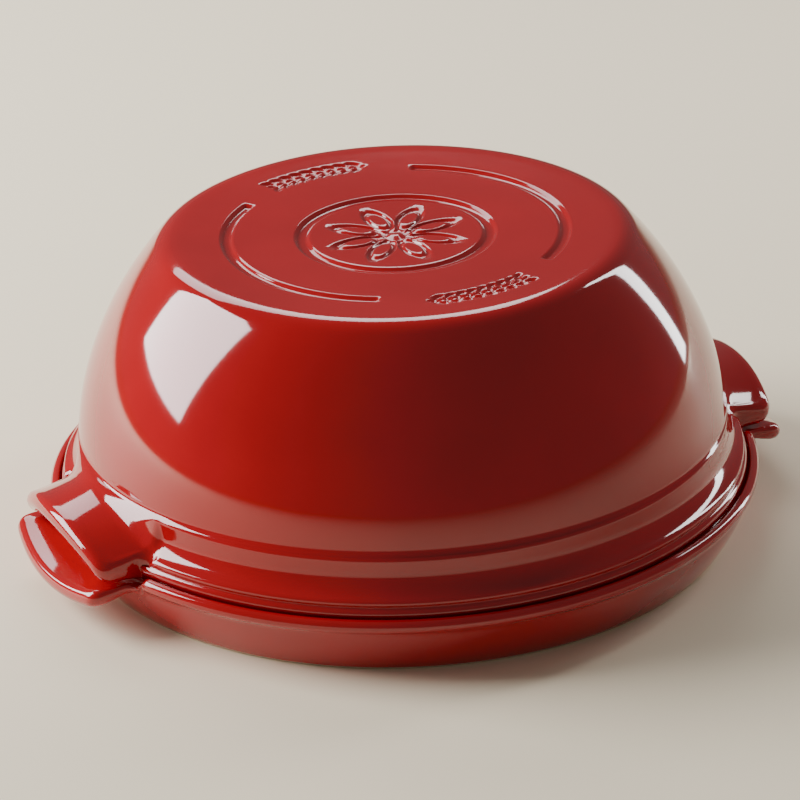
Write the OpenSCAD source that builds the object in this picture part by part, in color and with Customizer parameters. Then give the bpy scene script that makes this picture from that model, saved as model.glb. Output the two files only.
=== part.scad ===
// Bread cloche: a glazed ceramic baking plate with two side handles, and a deep
// round lid with two arched handles that sits on a ledge inside the plate's lip.
// The origin is on the table at the centre of the foot. X runs through the handles.

/* [Plate] */
// Radius over the lip of the plate
plate_r = 150; // [140:1:165]
// Height of the lip above the table
plate_h = 26.8; // [25:0.1:32]
// Width of the rounded lip
lip_w = 4; // [3:0.5:6]
// Height of the ledge that the lid sits on
ledge_h = 22.5; // [20:0.5:24]
// Width of the ledge inside the lip
ledge_w = 6.5; // [5:0.5:8]
// Rounding of the ledge's inner edge
ledge_round = 1.2; // [0.5:0.1:2]
// Height of the baking floor above the table
floor_h = 8; // [6:0.5:10]
// Radius of the cove between the floor and the ledge
cove_r = 26; // [20:1:32]
// Outer radius of the foot ring
foot_r = 138; // [130:1:140]
// Width of the foot ring
foot_w = 7; // [5:1:14]
// Height of the recess inside the foot ring
foot_h = 2; // [1:0.5:3]
// Radius of the bulge of the outer wall
plate_bulge = 60; // [40:1:120]

/* [Plate handles] */
// Reach of the plate's handles from the centre
plate_reach = 166.5; // [160:0.5:175]
// Half width of the plate's handles at their outer edge
plate_half = 42; // [36:0.5:46]
// Half width of the plate's handles at their root
plate_root = 46; // [44:0.5:52]
// Thickness of the plate's handles
plate_slab = 8; // [6:0.5:10]
// Slope of the thumb dip towards the outer edge, in degrees
dip_slope = 16; // [5:0.5:20]
// Radius of the thumb dip
dip_r = 228; // [150:1:400]
// Half width of the gap in the lip at each handle
notch_half = 47; // [46:0.5:54]

/* [Lid] */
// Height of the lid above its rim
lid_h = 109.8; // [95:0.2:125]
// Outer radius of the flat under the lid's rim
rim_r = 143.3; // [141:0.1:144]
// Width of the flat under the lid's rim
rim_w = 7.8; // [6:0.1:9]
// Largest radius of the bead round the rim
bead_r = 145; // [144:0.1:145.2]
// Rounding of the bead
bead_round = 3; // [2:0.1:4]
// Height of the bead's middle above the rim
bead_z = 5; // [4:0.1:6]
// Radius of the small ridge above the bead
ridge_r = 143.9; // [142:0.1:144.5]
// Height of the ridge's middle above the rim
ridge_z = 9.3; // [8.5:0.1:11]
// Radius of the lid's wall above the flare
wall_r = 136.8; // [134:0.2:139]
// Height at which the flare meets the wall
wall_z = 20; // [18:1:28]
// Thickness of the lid's wall
wall_t = 7; // [5:0.5:9]
// Radius at which the wall meets the shoulder
shoulder_r = 100.2; // [90:0.2:110]
// Angle of the shoulder where it meets the wall, above level
shoulder_angle = 42; // [30:1:55]
// Radius of the shoulder's rounding
shoulder_round = 11; // [9:0.2:18]
// Pull of the wall's curve at its foot
pull_low = 28; // [15:1:40]
// Pull of the wall's curve at the shoulder
pull_high = 35; // [20:1:45]

/* [Lid handles] */
// Reach of the lid's handles from the centre
lid_reach = 161.5; // [156:0.5:168]
// Half width of the lid's handles at their tips
lid_half = 40.7; // [34:0.1:43]
// Half width of the lid's handles at their root
lid_root = 44; // [40:0.5:45]
// Thickness of the lid's handles
lid_slab = 8.5; // [6:0.5:10]
// Height of the arch's crown above the rim
crown_z = 20.5; // [16:0.5:22]
// Rise of the arch from its tips to its crown
arch_rise = 11.5; // [8:0.5:13]
// Gap between the lid's handle tips and the plate's handles
tip_gap = 0.8; // [0.5:0.1:2]
// Rounding of the handles' outer corners
corner_r = 6; // [3:0.5:12]

/* [Ornament] */
// Depth of the dished top at its centre
dish_depth = 2.3; // [0.5:0.1:4]
// Radius of the dished top
dish_r = 90; // [78:1:91]
// Outer radius of the two ring grooves
ring_r = 72.3; // [60:0.1:76]
// Width of the two ring grooves
ring_w = 4; // [2:0.5:6]
// Half angle of each ring groove
ring_half = 56; // [30:1:80]
// Turn of the ring grooves from the handles, in degrees
ring_turn = 2; // [-30:1:30]
// Outer radius of the medallion's groove
medal_r = 41.4; // [30:0.2:50]
// Width of the medallion's groove
medal_w = 4.8; // [2:0.2:6]
// Depth of the grooves
groove_d = 1.4; // [0.6:0.1:2.5]

/* [Hidden] */
$fn = 180;
glaze = [0.62, 0.05, 0.06];

cut = 1;
lip_in = plate_r - lip_w;
lip_top = 1;
lip_round = lip_w - lip_top - 0.2;
ledge_in = lip_in - ledge_w;
cove_rise = ledge_h - ledge_round - floor_h;
cove_turn = acos((cove_r - cove_rise) / cove_r);
cove_in = ledge_in - cove_r * sin(cove_turn);
crown_r = (lid_half * lid_half + arch_rise * arch_rise) / (2 * arch_rise);
flare_r = 9.7;
lean = [cos(shoulder_angle), sin(shoulder_angle)];
down = [sin(shoulder_angle), -cos(shoulder_angle)];
shoulder = [shoulder_r, lid_h - shoulder_round * (1 - sin(shoulder_angle))];
inside = shoulder - wall_t * lean;

// Points on an arc round c, from angle a to angle b
function arc(c, r, a, b, n) =
    [for (i = [0:n]) let(t = a + (b - a) * i / n) c + r * [cos(t), sin(t)]];

// A list of points without its first one
function tail(v) = [for (i = [1:len(v) - 1]) v[i]];

// Points from p to q on an arc of radius r that bulges away from the axis
function bulge(p, q, r, n) =
    let(d = q - p, l = norm(d), k = sqrt(r * r - l * l / 4),
        c = (p + q) / 2 + k / l * [-d[1], d[0]],
        a = atan2(p[1] - c[1], p[0] - c[0]), s = 2 * asin(l / (2 * r)))
    arc(c, r, a, a + s, n);

// Points on a cubic curve
function cubic(p, n) =
    [for (i = [0:n]) let(t = i / n, u = 1 - t)
        u * u * u * p[0] + 3 * u * u * t * p[1] + 3 * u * t * t * p[2] + t * t * t * p[3]];

// The section of the plate without its handles
module plate_section() {
    polygon(concat(
        [[0, foot_h], [foot_r - foot_w - foot_h, foot_h], [foot_r - foot_w, 0], [foot_r, 0]],
        bulge([foot_r + 0.8, 1], [plate_r - 2, ledge_h - 1.2], plate_bulge, 8),
        arc([plate_r - lip_round, plate_h - lip_round], lip_round, -30, 90, 8),
        arc([lip_in + lip_top, plate_h - lip_top], lip_top, 90, 180, 4),
        [[lip_in, ledge_h + 1], [lip_in - 0.3, ledge_h + 0.3], [lip_in - 1, ledge_h]],
        arc([ledge_in + ledge_round, ledge_h - ledge_round], ledge_round, 90, 180, 4),
        tail(arc([cove_in, floor_h + cove_r], cove_r, cove_turn - 90, -90, 10)),
        [[0, floor_h]]));
}

// Outline of a handle seen from above
module handle_plan(reach, half, root) {
    y = half - corner_r;
    x = sqrt(pow(reach - corner_r, 2) - y * y);
    turn = atan2(y, x);
    polygon(concat(
        [[125, -root], [135, -root]],
        arc([x, -y], corner_r, -90, -turn, 5),
        tail(arc([0, 0], reach, -turn, turn, 16)),
        tail(arc([x, y], corner_r, turn, 90, 5)),
        [[135, root], [125, root]]));
}

// A long cylinder whose lowest line runs outwards and down from the ledge
module dip(r) {
    translate([lip_in, 0, ledge_h]) rotate([0, dip_slope, 0]) translate([0, 0, dip_r])
        rotate([0, 90, 0]) cylinder(r = r, h = 40);
}

module plate_handle_blank() {
    intersection() {
        linear_extrude(ledge_h) handle_plan(plate_reach, plate_half, plate_root);
        translate([-20, 0, 0]) dip(dip_r + plate_slab);
        difference() {
            translate([100, -60, 0]) cube([80, 120, ledge_h + cut]);
            translate([0, 0, -cut]) cylinder(r = lip_in - 2, h = ledge_h + 3 * cut);
        }
    }
}

module plate() {
    color(glaze) difference() {
        union() {
            rotate_extrude() plate_section();
            for (side = [0, 180]) rotate([0, 0, side]) plate_handle_blank();
        }
        for (side = [0, 180]) rotate([0, 0, side]) {
            translate([lip_in - 20, -notch_half, ledge_h]) cube([40, 2 * notch_half, 10]);
            intersection() {
                dip(dip_r);
                translate([lip_in, -notch_half, 0]) cube([40, 2 * notch_half, ledge_h + cut]);
            }
        }
    }
}

// The section of the lid without its handles
module lid_section() {
    polygon(concat(
        [[rim_r - rim_w, 0]],
        arc([rim_r - 1, 1], 1, -90, 0, 4),
        arc([bead_r - bead_round, bead_z], bead_round, -50, 66, 8),
        arc([ridge_r - 1.9, ridge_z], 1.9, -45, 50, 6),
        arc([wall_r + flare_r, wall_z], flare_r, 246, 190, 7),
        cubic([[wall_r, wall_z], [wall_r, wall_z + pull_low],
               shoulder + pull_high * down, shoulder], 14),
        tail(arc(shoulder - shoulder_round * lean, shoulder_round, shoulder_angle, 90, 6)),
        [for (i = [0:8]) let(k = 1 - i / 8) [dish_r * k, lid_h - dish_depth * (1 - k * k)]],
        [[0, lid_h - wall_t - dish_depth]],
        arc(shoulder - shoulder_round * lean, shoulder_round - wall_t, 90, shoulder_angle, 4),
        tail(cubic([inside, inside + 0.92 * pull_high * down,
                    [wall_r - wall_t, wall_z + pull_low], [wall_r - wall_t, wall_z]], 12)),
        [[wall_r - wall_t + 0.6, 8], [wall_r - wall_t + 2, 3.5]]));
}

module lid_handle() {
    intersection() {
        linear_extrude(crown_z + cut) handle_plan(lid_reach, lid_half, lid_root);
        translate([100, 0, crown_z - crown_r]) rotate([0, 90, 0]) difference() {
            cylinder(r = crown_r, h = 80);
            translate([0, 0, -cut]) cylinder(r = crown_r - lid_slab, h = 80 + 2 * cut);
        }
        difference() {
            translate([100, -60, tip_gap]) cube([80, 120, crown_z + cut]);
            translate([0, 0, -cut]) cylinder(r = wall_r - 3, h = crown_z + 4 * cut);
        }
    }
}

module lid() {
    color(glaze) translate([0, 0, ledge_h]) difference() {
        union() {
            rotate_extrude() lid_section();
            for (side = [0, 180]) rotate([0, 0, side]) lid_handle();
        }
        for (side = [0, 180]) rotate([0, 0, side + ring_turn - ring_half])
            rotate_extrude(angle = 2 * ring_half)
                translate([ring_r - ring_w, lid_h - dish_depth - groove_d + 1.3]) square([ring_w, 9]);
        rotate_extrude()
            translate([medal_r - medal_w, lid_h - dish_depth - groove_d + 0.4]) square([medal_w, 9]);
    }
}

plate();
lid();
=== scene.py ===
"""Bread cloche in deep red glaze: the looks of the plate and the lid, and a plain pale studio.

Each operator makes one piece. Sizes are in millimetres in the row's frame: the origin is on the
table under the middle of the plate, Z is up and X runs through the handles.
"""

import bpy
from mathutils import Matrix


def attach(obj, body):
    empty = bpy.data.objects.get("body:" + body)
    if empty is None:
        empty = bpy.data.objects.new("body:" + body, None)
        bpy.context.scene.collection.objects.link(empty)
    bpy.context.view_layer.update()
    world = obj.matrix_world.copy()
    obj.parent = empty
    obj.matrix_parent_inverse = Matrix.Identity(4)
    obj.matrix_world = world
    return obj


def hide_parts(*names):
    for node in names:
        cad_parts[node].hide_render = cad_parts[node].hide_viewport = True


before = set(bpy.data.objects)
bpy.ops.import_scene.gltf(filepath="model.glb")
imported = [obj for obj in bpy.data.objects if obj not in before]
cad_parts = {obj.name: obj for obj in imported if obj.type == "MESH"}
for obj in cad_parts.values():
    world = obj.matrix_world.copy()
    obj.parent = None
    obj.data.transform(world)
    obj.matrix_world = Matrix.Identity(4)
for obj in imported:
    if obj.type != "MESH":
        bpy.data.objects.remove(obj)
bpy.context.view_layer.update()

import math

import bmesh
import bpy
from mathutils import Matrix, Vector

bl_info = {
    "name": "Bread cloche",
    "version": (1, 0, 0),
    "blender": (4, 5, 0),
    "location": "View3D > Sidebar > Cloche",
    "description": "Builds a glazed bread cloche and a studio round it",
    "category": "Add Mesh",
}

MM = 0.001
STEPS = 600          # columns round each piece
LEDGE = 22.5         # height of the ledge that the lid sits on
FLOOR = 8.0          # height of the baking floor
LIP_IN = 146.0       # radius of the lip's inner wall
LID_H = 109.75       # height of the lid above its rim
WALL_R = 136.8       # radius of the lid's wall above the flare
WALL_Z = 20.0        # height at which the flare meets the wall
WALL_T = 7.0         # thickness of the lid's wall
SHOULDER_R = 11.0    # rounding of the lid's shoulder
SHOULDER_ANGLE = math.radians(42)
DISH = (90.0, 2.3)   # radius and depth of the lid's dished top
ARCH_Z = -58.3       # axis of the lid handles' arch, above the rim
ARCH_R = (78.8, 70.3)
DIP_SLOPE = 0.293    # slope of the plate handles' dip
DIP_R2 = 456.0       # twice the radius of the plate handles' dip
ORNAMENT_TURN = 2.0  # turn of the ornament from the handles, in degrees
CORNER = 6.0         # rounding of the handles' corners
EDGE_AT = (0.36, 0.64)  # part of a handle's rows that goes round its edge


# ---- profiles ----

def arc(cx, cz, r, a, b, n):
    """n + 1 points on an arc, from angle a to angle b in degrees."""
    turns = [math.radians(a + (b - a) * i / n) for i in range(n + 1)]
    return [(cx + r * math.cos(t), cz + r * math.sin(t)) for t in turns]


def line(p, q, n):
    """Points from p towards q, without q."""
    return [(p[0] + (q[0] - p[0]) * i / n, p[1] + (q[1] - p[1]) * i / n) for i in range(n)]


def cubic(p, n):
    """n + 1 points on a cubic curve with four control points."""
    out = []
    for i in range(n + 1):
        t = i / n
        k = ((1 - t) ** 3, 3 * t * (1 - t) ** 2, 3 * t * t * (1 - t), t ** 3)
        out.append(tuple(sum(k[j] * p[j][c] for j in range(4)) for c in (0, 1)))
    return out


def ease(t):
    """A smooth step from 0 to 1."""
    t = min(max(t, 0.0), 1.0)
    return t * t * (3 - 2 * t)


def ring(d, half, soft):
    """1 inside a band of that half width round d = 0, falling softly to 0."""
    return 1 - ease((abs(d) - half + soft) / (2 * soft))


# ---- handles ----

class Handle:
    """A slab that grows out of the wall: fans from the root arc to a rounded outline."""

    def __init__(self, reach, half, corner, root_r, root, edge, top, under, fillet):
        self.edge, self.top, self.under, self.fillet = edge, top, under, fillet
        self.turn = math.asin(root / root_r)
        y = half - corner
        x = math.sqrt((reach - corner) ** 2 - y * y)
        a = math.atan2(y, x)
        path = [(root_r * math.cos(self.turn), -root)]
        lead = path[0][0] + 5.0
        path += [(lead - 2.4, -root + 0.7), (lead, -half - 0.9), (lead + 2.2, -half)]
        for i in range(9):
            t = -math.pi / 2 + (math.pi / 2 - a) * i / 8
            path.append((x + corner * math.cos(t), -y + corner * math.sin(t)))
        for i in range(1, 30):
            t = -a + 2 * a * i / 30
            path.append((reach * math.cos(t), reach * math.sin(t)))
        side = [(p[0], -p[1]) for p in path[:13]]
        self.path = path + side[::-1]
        self.way = [0.0]
        for p, q in zip(self.path, self.path[1:]):
            self.way.append(self.way[-1] + math.hypot(q[0] - p[0], q[1] - p[1]))

    def outline(self, u):
        """Point of the outline at u from -1 to 1."""
        d = (u + 1) / 2 * self.way[-1]
        i = max(j for j in range(len(self.way) - 1) if self.way[j] <= d + 1e-9)
        p, q = self.path[i], self.path[i + 1]
        t = (d - self.way[i]) / (self.way[i + 1] - self.way[i])
        return p[0] + (q[0] - p[0]) * t, p[1] + (q[1] - p[1]) * t

    def section(self, u, k, start, end):
        """Point at k from 0 to 1 over the top, round the edge and back under, for column u."""
        px, py = self.outline(u)
        a = u * self.turn
        first = k < 0.5
        r, z = start if first else end
        qx, qy = r * math.cos(a), r * math.sin(a)
        away = math.hypot(px - qx, py - qy)
        e = min(self.edge, away * 0.5)
        nx, ny = (px - qx) / (away + 1e-9), (py - qy) / (away + 1e-9)
        ex, ey = px - nx * e, py - ny * e
        hi, lo = self.top(ex, ey), self.under(ex, ey)
        if EDGE_AT[0] <= k <= EDGE_AT[1]:
            t = math.pi * ((k - EDGE_AT[0]) / (EDGE_AT[1] - EDGE_AT[0]) - 0.5)
            mid, tall = (hi + lo) / 2, (hi - lo) / 2
            return ex + nx * e * math.cos(t), ey + ny * e * math.cos(t), mid - tall * math.sin(t)
        s = (k if first else 1 - k) / EDGE_AT[0]
        x, y = qx + (ex - qx) * s, qy + (ey - qy) * s
        face = self.top(x, y) if first else self.under(x, y)
        far = math.hypot(x - qx, y - qy)
        root = max(0.0, 1 - far / self.fillet) ** 2
        return x, y, face + (z - face) * root


def plate_top(x, y):
    """Height of the plate handles' dipped top."""
    out = max(0.0, x - LIP_IN)
    dip = DIP_SLOPE * out - y * y / DIP_R2
    return LEDGE - 0.35 * ease(out / 3) - max(0.0, dip) * ease(out / 6)


def plate_under(x, y):
    """Height of the plate handles' underside."""
    return LEDGE - DIP_SLOPE * (x - LIP_IN) + y * y / DIP_R2 - 8.1


def lid_top(x, y):
    """Height of the lid handles' arched top, which rises towards the wall."""
    rise = 4.5 * (max(0.0, 158.0 - math.hypot(x, y)) / 21.0) ** 1.5
    return LEDGE + ARCH_Z + rise + math.sqrt(ARCH_R[0] ** 2 - y * y)


def lid_under(x, y):
    """Height of the lid handles' arched underside, held clear of the plate's handles."""
    return LEDGE + max(0.9, ARCH_Z + math.sqrt(ARCH_R[1] ** 2 - y * y))


# ---- meshes ----

def spin(rows):
    """A bmesh of the profile turned once round Z, with each vertex's row kept in a layer."""
    bm = bmesh.new()
    keep = bm.verts.layers.int.new("row")
    verts = []
    for i, (r, z) in enumerate(rows):
        v = bm.verts.new((r, 0, z))
        v[keep] = i
        verts.append(v)
    edges = [bm.edges.new(pair) for pair in zip(verts, verts[1:])]
    bmesh.ops.spin(bm, geom=verts + edges, cent=(0, 0, 0), axis=(0, 0, 1),
                   angle=math.tau, steps=STEPS, use_merge=True)
    poles = [v for v in bm.verts if math.hypot(v.co.x, v.co.y) < 1e-4]
    bmesh.ops.remove_doubles(bm, verts=poles, dist=1e-3)
    return bm, keep


def grow(bm, keep, rows, handle, i0, i1):
    """Pulls the rows between i0 and i1 out into the two handles."""
    for v in bm.verts:
        i = v[keep]
        if not i0 < i < i1:
            continue
        a = math.atan2(v.co.y, v.co.x)
        back = abs(a) > math.pi / 2
        if back:
            a = math.atan2(-v.co.y, -v.co.x)
        u = a / handle.turn
        if abs(u) >= 1:
            continue
        k = (i - i0) / (i1 - i0)
        x, y, z = handle.section(u, k, rows[i0], rows[i1])
        w = ease((1 - abs(u)) / 0.09)
        sign = -1 if back else 1
        v.co = v.co.lerp(Vector((sign * x, sign * y, z)), w)


def finish_piece(name, bm, body, material):
    """Scales the bmesh to metres and makes the piece that stands for one CAD node."""
    bmesh.ops.scale(bm, vec=(MM, MM, MM), verts=bm.verts)
    bmesh.ops.recalc_face_normals(bm, faces=bm.faces)
    for f in bm.faces:
        f.smooth = True
    mesh = bpy.data.meshes.new(name)
    bm.to_mesh(mesh)
    bm.free()
    mesh.materials.append(material)
    piece = bpy.data.objects.new(name, mesh)
    bpy.context.scene.collection.objects.link(piece)
    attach(piece, body)
    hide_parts(body)


# ---- shader maths ----

class Socket:
    """An output socket that can be added and multiplied like a number."""

    def __init__(self, tree, out):
        self.tree, self.out = tree, out

    def node(self, kind, *ins, operation=None, pick=0, **props):
        n = self.tree.nodes.new(kind)
        if operation:
            n.operation = operation
        for key, value in props.items():
            setattr(n, key, value)
        for i, value in enumerate(ins):
            if isinstance(value, Socket):
                self.tree.links.new(value.out, n.inputs[i])
            elif value is not None:
                n.inputs[i].default_value = value
        return Socket(self.tree, n.outputs[pick])

    def math(self, operation, *ins, **props):
        return self.node("ShaderNodeMath", self, *ins, operation=operation, **props)

    def __add__(self, other):
        return self.math("ADD", other)

    def __mul__(self, other):
        return self.math("MULTIPLY", other)

    def step(self, low, high):
        """0 below low and 1 above high, smooth between."""
        return self.node("ShaderNodeMapRange", self, low, high, 0.0, 1.0,
                         interpolation_type="SMOOTHSTEP")

    def mix(self, a, b):
        """Colour a where this is 0 and colour b where it is 1."""
        n = self.tree.nodes.new("ShaderNodeMix")
        n.data_type = "RGBA"
        self.tree.links.new(self.out, n.inputs[0])
        for i, value in ((6, a), (7, b)):
            if isinstance(value, Socket):
                self.tree.links.new(value.out, n.inputs[i])
            else:
                n.inputs[i].default_value = value
        return Socket(self.tree, n.outputs[2])


def glaze(name, look):
    """High-gloss red glaze with a faint ripple, bare clay on the foot edge."""
    mat = bpy.data.materials.new(name)
    mat.use_nodes = True
    tree = mat.node_tree
    shader = tree.nodes["Principled BSDF"]
    base = Socket(tree, tree.nodes.new("ShaderNodeTexCoord").outputs["Object"])
    z = base.node("ShaderNodeSeparateXYZ", base, pick=2)
    cloud = base.node("ShaderNodeTexNoise", base, None, 14.0, 3.0)
    ripple = base.node("ShaderNodeTexNoise", base, None, 38.0, 2.0)
    tone = cloud.step(0.35, 0.7)
    red = tone.mix((*look.deep, 1), (*look.bright, 1))
    clay = z.step(0.0013, 0.0007)
    shader.inputs["Coat Weight"].default_value = 0.4
    shader.inputs["Coat Roughness"].default_value = 0.03
    shader.inputs["IOR"].default_value = 1.52
    tree.links.new(clay.mix(red, (0.62, 0.5, 0.38, 1)).out, shader.inputs["Base Color"])
    tree.links.new((clay * 0.6 + look.rough).out, shader.inputs["Roughness"])
    bump = tree.nodes.new("ShaderNodeBump")
    bump.inputs["Strength"].default_value = 0.12
    bump.inputs["Distance"].default_value = 0.0006
    tree.links.new((ripple * 0.7 + cloud * 0.6).out, bump.inputs["Height"])
    tree.links.new(bump.outputs["Normal"], shader.inputs["Normal"])
    return mat


def plain(name, colour, rough):
    """A matt material of one colour."""
    mat = bpy.data.materials.new(name)
    mat.use_nodes = True
    shader = mat.node_tree.nodes["Principled BSDF"]
    shader.inputs["Base Color"].default_value = (*colour, 1)
    shader.inputs["Roughness"].default_value = rough
    return mat


# ---- properties ----

class ClocheLook(bpy.types.PropertyGroup):
    """Colours and gloss of the glaze."""

    deep: bpy.props.FloatVectorProperty(
        name="Deep red", description="Colour of the glaze where it is thick", subtype="COLOR",
        default=(0.33, 0.0022, 0.0055), min=0.0, max=1.0)
    bright: bpy.props.FloatVectorProperty(
        name="Bright red", description="Colour of the glaze where it is thin", subtype="COLOR",
        default=(0.38, 0.003, 0.007), min=0.0, max=1.0)
    rough: bpy.props.FloatProperty(
        name="Roughness", description="Roughness of the glaze", subtype="FACTOR",
        default=0.07, min=0.0, max=1.0)


class ClocheOrnament(bpy.types.PropertyGroup):
    """Decoration on the lid's top."""

    depth: bpy.props.FloatProperty(
        name="Groove depth, mm", description="Depth of the ring grooves on the lid's top",
        default=1.3, min=0.0, max=3.0)
    sprig: bpy.props.FloatProperty(
        name="Sprig depth, mm", description="Depth of the wheat and the rosette",
        default=1.0, min=0.0, max=3.0)


class ClocheStage(bpy.types.PropertyGroup):
    """Lights round the object."""

    key: bpy.props.FloatProperty(
        name="Key light", description="Power of the large soft light at the back left",
        unit="POWER", default=52.0, min=0.0)
    fill: bpy.props.FloatProperty(
        name="Fill light", description="Power of the strip light at the right",
        unit="POWER", default=5.0, min=0.0)
    sky: bpy.props.FloatProperty(
        name="Surround", description="Brightness of the surroundings", default=0.17, min=0.0)


# ---- operators ----

class CLOCHE_OT_plate(bpy.types.Operator):
    """Make the baking plate with its two dipped handles"""
    bl_idname = "cloche.plate"
    bl_label = "Plate"

    def execute(self, context):
        rows = line((0, FLOOR), (112, FLOOR), 8) + [(112, FLOOR)]
        rows += arc(116.2, 34, 26, -90, -31, 14)
        rows += arc(140.7, 21.3, 1.2, 170, 95, 4) + [(141.4, LEDGE), (143, LEDGE)]
        start = len(rows)
        rows += [(144.4, LEDGE), (145.1, 22.55), (145.6, 22.8), (145.9, 23.4), (LIP_IN, 24.6)]
        rows += arc(147, 25.8, 1, 180, 95, 5) + arc(147.2, 24, 2.8, 90, -45, 16)
        rows += [(148.7, 21.5), (147.9, 20.6), (147.4, 19.0), (146.5, 16.4), (145.4, 13.6)]
        end = len(rows)
        rows += [(144.2, 11), (142.4, 7.5), (140.4, 4), (138.8, 1.5), (138, 0.5)]
        rows += [(137.2, 0), (134, 0), (131, 0), (130, 1)] + line((129, 2), (0, 2), 6) + [(0, 2)]
        bm, keep = spin(rows)
        slab = Handle(166.0, 42, CORNER, 147.5, 49.0, 3.6, plate_top, plate_under, 5.0)
        grow(bm, keep, rows, slab, start, end - 1)
        finish_piece("cloche_plate", bm, "plate",
                    glaze("plate_glaze", context.scene.cloche_look))
        return {"FINISHED"}


def sprig(r, a):
    """Depth from 0 to 1 of an ear of wheat that lies along the ring, centred on a = 0."""
    x, y = 74.5 * a, r - 74.5
    best = ring(y, 0.7, 0.4) * ring(x, 23, 1.0)
    for i in range(-4, 5):
        for s in (-1, 1):
            cx, cy, tilt = i * 4.9 + 1.2, s * 3.1, math.radians(33) * s
            dx, dy = x - cx, y - cy
            along = dx * math.cos(tilt) + dy * math.sin(tilt)
            across = dy * math.cos(tilt) - dx * math.sin(tilt)
            best = max(best, 1 - ease((math.hypot(along / 3.3, across / 1.45) - 0.72) / 0.5))
    return best


def rosette(r, a):
    """Depth from 0 to 1 of a rosette of eight petals."""
    best = ring(r - 4.5, 1.0, 0.5)
    step = math.pi / 4
    a = (a + step / 2) % step - step / 2
    x, y = r * math.cos(a) - 17, r * math.sin(a)
    d = math.hypot(x / 9.5, y / 4.2)
    return max(best, ring((d - 1) * 4.2, 0.8, 0.5))


class CLOCHE_OT_lid(bpy.types.Operator):
    """Make the deep lid with its arched handles and the grooves on its top"""
    bl_idname = "cloche.lid"
    bl_label = "Lid"

    def execute(self, context):
        look = context.scene.cloche_ornament
        rads = [0.0] + [2.0 * i for i in range(1, 3)] + [5.0 + 1.2 * i for i in range(20)]
        rads += [29.5, 32, 34.5] + [35.5 + 0.8 * i for i in range(10)] + [45, 50, 56, 61, 64]
        rads += [66 + 0.75 * i for i in range(22)] + [84, 87, 90]
        rows = [(r, LID_H - DISH[1] * (1 - (r / DISH[0]) ** 2)) for r in rads]
        cap = len(rows)
        c, s = math.cos(SHOULDER_ANGLE), math.sin(SHOULDER_ANGLE)
        p = (100.2, LID_H - SHOULDER_R * (1 - s))
        rows += arc(p[0] - SHOULDER_R * c, p[1] - SHOULDER_R * s, SHOULDER_R, 86, 42, 6)
        rows += cubic([p, (p[0] + 35 * s, p[1] - 35 * c), (WALL_R, 48), (WALL_R, WALL_Z)], 26)[1:-2]
        start = len(rows)
        rows += [(WALL_R, 26.5), (WALL_R, 24)] + line((WALL_R, 22), (WALL_R, WALL_Z), 2)
        rows += arc(146.5, 20, 9.7, 180, 244, 9)
        rows += arc(142.0, 9.3, 1.9, 50, -38, 7) + arc(142.0, 5, 3.0, 62, 45, 2)
        end = len(rows)
        rows += arc(142.0, 5, 3.0, 38, -46, 7) + arc(142.3, 1, 1, 0, -90, 4)
        inner = WALL_R - WALL_T
        rows += [(139, 0), (136.8, 0.3), (134, 1.2), (132, 3.5), (130.4, 8), (inner, WALL_Z)]
        rows += cubic([(inner, WALL_Z), (inner, 48), (118.6, 77.3), (95, 101.4)], 14)[1:]
        rows += [(93.5, 102.4), (91, 102.7), (60, 101.4), (20, 100.6), (0, 100.5)]
        rows = [(r, z + LEDGE) for r, z in rows]
        bm, keep = spin(rows)
        for v in bm.verts:
            if v[keep] >= cap:
                continue
            r, a = math.hypot(v.co.x, v.co.y), math.degrees(math.atan2(v.co.y, v.co.x))
            a_half = (a - ORNAMENT_TURN) % 180
            ends = 1 - ease((min(a_half, 180 - a_half) - 55.6) / 1.6)
            cut = look.depth * max(ring(r - 70.3, 2.0, 0.5) * ends, ring(r - 39, 2.4, 0.55))
            turn = math.radians(a_half - 90)
            ear = 0.0
            if r > 66 and abs(turn) < 0.36:
                ear = sprig(r, turn)
            if r < 31:
                ear = max(ear, rosette(r, math.radians(a)))
            v.co.z -= max(cut, look.sprig * ear)
        arch = Handle(161.4, 40.7, CORNER, 140.0, 45.5, 3.8, lid_top, lid_under, 5.5)
        grow(bm, keep, rows, arch, start, end - 1)
        finish_piece("cloche_lid", bm, "lid",
                    glaze("lid_glaze", context.scene.cloche_look))
        return {"FINISHED"}


def area(name, spot, size, size_y, power, aim=(0, 0, 0.06)):
    """A soft rectangular light at spot that looks at the object."""
    lamp = bpy.data.lights.new(name, "AREA")
    lamp.shape, lamp.size, lamp.size_y, lamp.energy = "RECTANGLE", size, size_y, power
    ob = bpy.data.objects.new(name, lamp)
    bpy.context.scene.collection.objects.link(ob)
    way = Vector(aim) - Vector(spot)
    ob.matrix_world = Matrix.Translation(spot) @ way.to_track_quat("-Z", "Y").to_matrix().to_4x4()
    return ob


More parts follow.
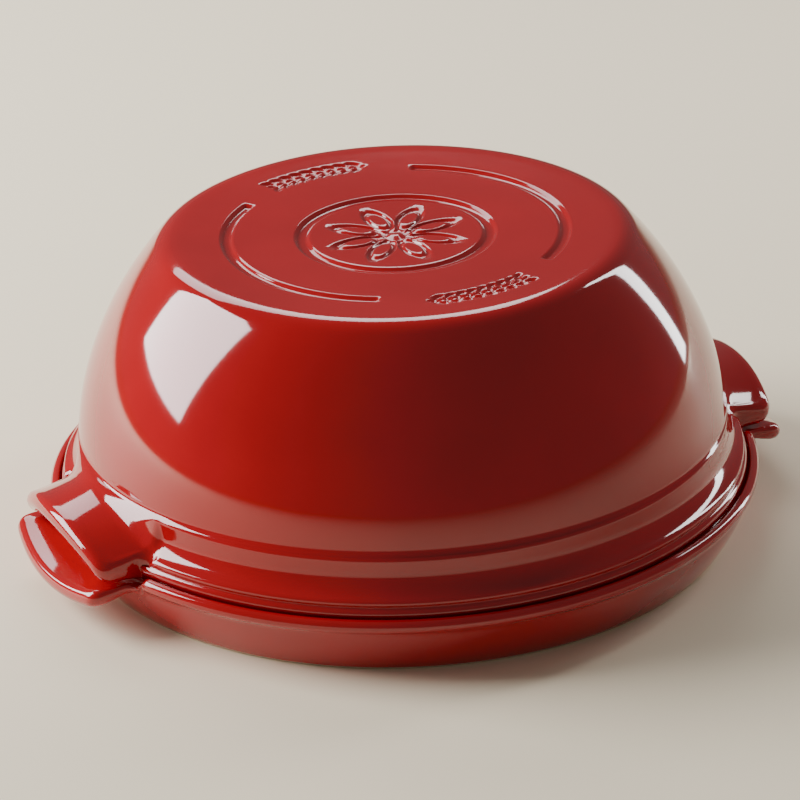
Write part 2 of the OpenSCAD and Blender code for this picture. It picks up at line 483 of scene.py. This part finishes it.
class CLOCHE_OT_stage(bpy.types.Operator):
    """Make the floor, the lights and the camera"""
    bl_idname = "cloche.stage"
    bl_label = "Stage"

    def execute(self, context):
        scene, look = context.scene, context.scene.cloche_stage
        bm = bmesh.new()
        bmesh.ops.create_grid(bm, x_segments=1, y_segments=1, size=6)
        mesh = bpy.data.meshes.new("floor")
        bm.to_mesh(mesh)
        bm.free()
        mesh.materials.append(plain("floor", (0.93, 0.82, 0.62), 0.7))
        floor = bpy.data.objects.new("floor", mesh)
        scene.collection.objects.link(floor)
        area("key", (-1.1, 0.85, 0.78), 1.0, 0.95, look.key)
        area("strip", (1.0, 0.15, 0.45), 0.12, 0.9, look.fill)
        area("top", (0.2, 1.1, 1.0), 1.0, 0.5, look.fill * 1.6)
        world = bpy.data.worlds.new("studio")
        world.use_nodes = True
        shade = world.node_tree.nodes["Background"]
        shade.inputs[0].default_value = (1.0, 0.97, 0.93, 1)
        shade.inputs[1].default_value = look.sky
        scene.world = world
        cam = bpy.data.cameras.new("camera")
        cam.lens, cam.sensor_width = 202.5, 36.0
        eye = bpy.data.objects.new("camera", cam)
        scene.collection.objects.link(eye)
        az, el, roll = (math.radians(v) for v in (-25.0, 24.874, -2.214))
        back = Vector((math.sin(az) * math.cos(el), -math.cos(az) * math.cos(el), math.sin(el)))
        right = Vector((math.cos(az), math.sin(az), 0))
        up = back.cross(right)
        side = math.cos(roll) * right + math.sin(roll) * up
        rise = back.cross(side)
        spot = Vector((48.7, 106.4, 0)) * MM + back * 2.02495
        eye.matrix_world = Matrix((
            (side.x, rise.x, back.x, spot.x), (side.y, rise.y, back.y, spot.y),
            (side.z, rise.z, back.z, spot.z), (0, 0, 0, 1)))
        scene.camera = eye
        return {"FINISHED"}


class CLOCHE_PT_panel(bpy.types.Panel):
    bl_idname = "CLOCHE_PT_panel"
    bl_label = "Bread cloche"
    bl_space_type = "VIEW_3D"
    bl_region_type = "UI"
    bl_category = "Cloche"

    def draw(self, context):
        for group in ("cloche_look", "cloche_ornament", "cloche_stage"):
            owner = getattr(context.scene, group)
            for key in owner.__annotations__:
                self.layout.prop(owner, key)
        for name in ("cloche.plate", "cloche.lid", "cloche.stage"):
            self.layout.operator(name)


GROUPS = (("cloche_look", ClocheLook), ("cloche_ornament", ClocheOrnament),
          ("cloche_stage", ClocheStage))
CLASSES = (CLOCHE_OT_plate, CLOCHE_OT_lid, CLOCHE_OT_stage, CLOCHE_PT_panel)


def register():
    for name, group in GROUPS:
        bpy.utils.register_class(group)
        setattr(bpy.types.Scene, name, bpy.props.PointerProperty(type=group))
    for cls in CLASSES:
        bpy.utils.register_class(cls)


def unregister():
    for cls in reversed(CLASSES):
        bpy.utils.unregister_class(cls)
    for name, group in reversed(GROUPS):
        delattr(bpy.types.Scene, name)
        bpy.utils.unregister_class(group)


def main():
    register()
    bpy.ops.cloche.plate()
    bpy.ops.cloche.lid()
    bpy.ops.cloche.stage()


if __name__ == "__main__":
    main()
